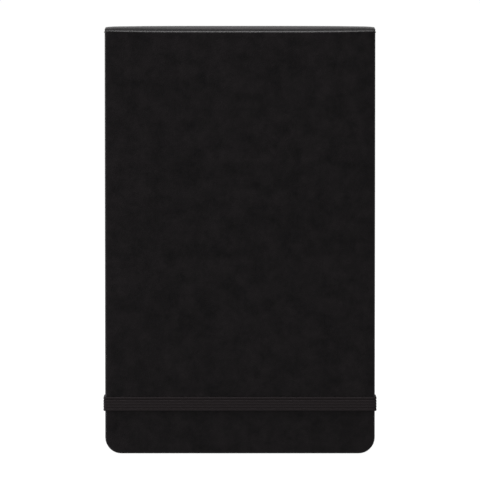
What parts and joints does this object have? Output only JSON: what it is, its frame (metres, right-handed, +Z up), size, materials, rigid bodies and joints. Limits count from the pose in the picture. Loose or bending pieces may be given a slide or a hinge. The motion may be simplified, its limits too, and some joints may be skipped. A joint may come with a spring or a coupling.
{
  "type": "pocket notebook",
  "caption": "Hard-cover pocket notebook bound at the top edge, with turning leaves, an elastic closure band and an inner pocket in the back cover.",
  "frame": {"origin": "under the middle of the closed notebook, at its bottom edge", "axes": "+X across the width, +Y out of the back cover, +Z up towards the bound top edge"},
  "size_m": [0.0912, 0.0146, 0.142],
  "materials": {
    "cover_cloth": "matt black imitation leather with a fine pebble grain",
    "greyboard": "grey pulp board, matt",
    "spine_card": "thin card strip, matt",
    "endpaper": "ivory endpaper, matt",
    "gusset_cloth": "thin black bookcloth",
    "writing_paper": "ivory writing paper, matt",
    "mull": "open-weave spine gauze",
    "thread": "waxed white sewing thread",
    "elastic": "black woven elastic with five lengthwise ribs"
  },
  "bodies": {
    "back_cover": {"back_cover_cloth": "cover_cloth", "back_board": "greyboard", "back_pastedown": "endpaper", "pocket_gusset_left": "gusset_cloth", "pocket_gusset_right": "gusset_cloth", "elastic_return_left": "elastic", "elastic_return_right": "elastic"},
    "pocket": {"pocket_panel": "endpaper"},
    "rear_leaves": {"back_flyleaf": "endpaper", "signature_07": "writing_paper", "signature_08": "writing_paper", "signature_09": "writing_paper", "signature_10": "writing_paper", "signature_11": "writing_paper", "signature_12": "writing_paper", "rear_spine_cloth": "cover_cloth", "rear_spine_card": "spine_card", "rear_spine_lining": "mull", "rear_sewing_thread": "thread"},
    "front_leaves": {"signature_01": "writing_paper", "signature_02": "writing_paper", "signature_03": "writing_paper", "signature_04": "writing_paper", "signature_05": "writing_paper", "signature_06": "writing_paper", "front_spine_cloth": "cover_cloth", "front_spine_card": "spine_card", "front_spine_lining": "mull", "front_sewing_thread": "thread"},
    "front_flyleaf": {"front_flyleaf": "endpaper"},
    "front_cover": {"front_cover_cloth": "cover_cloth", "front_board": "greyboard", "front_pastedown": "endpaper"},
    "elastic": {"elastic_front_run": "elastic"}
  },
  "joints": [
    {"name": "rear_leaves_turn", "type": "hinge", "parent": "back_cover", "child": "rear_leaves", "pos_m": [0, 0.00673, 0.142], "axis": [-1, 0, 0], "range_deg": [0, 45]},
    {"name": "front_leaves_turn", "type": "hinge", "parent": "rear_leaves", "child": "front_leaves", "pos_m": [0, -0.00028, 0.142], "axis": [-1, 0, 0], "range_deg": [0, 135]},
    {"name": "front_cover_turn", "type": "hinge", "parent": "front_leaves", "child": "front_cover", "pos_m": [0, -0.00673, 0.142], "axis": [-1, 0, 0], "range_deg": [0, 180]},
    {"name": "front_flyleaf_lift", "type": "hinge", "parent": "front_leaves", "child": "front_flyleaf", "pos_m": [0, -0.00436, 0.14081], "axis": [-1, 0, 0], "range_deg": [0, 14.5]},
    {"name": "pocket_open", "type": "hinge", "parent": "back_cover", "child": "pocket", "pos_m": [0, 0.00435, 0.0025], "axis": [1, 0, 0], "range_deg": [0, 4.1], "deforming": ["pocket_gusset_left", "pocket_gusset_right"]},
    {"name": "elastic_turn", "type": "hinge", "parent": "back_cover", "child": "elastic", "pos_m": [0, 0.0003, 0.0167], "axis": [1, 0, 0], "range_deg": [0, 180], "deforming": ["elastic_front_run", "elastic_return_left", "elastic_return_right"]}
  ],
  "couplings": [
    {"joint": "front_flyleaf_lift", "follows": "front_cover_turn", "ratio": 0.08},
    {"joint": "pocket_open", "follows": "rear_leaves_turn", "ratio": 0.09}
  ]
}
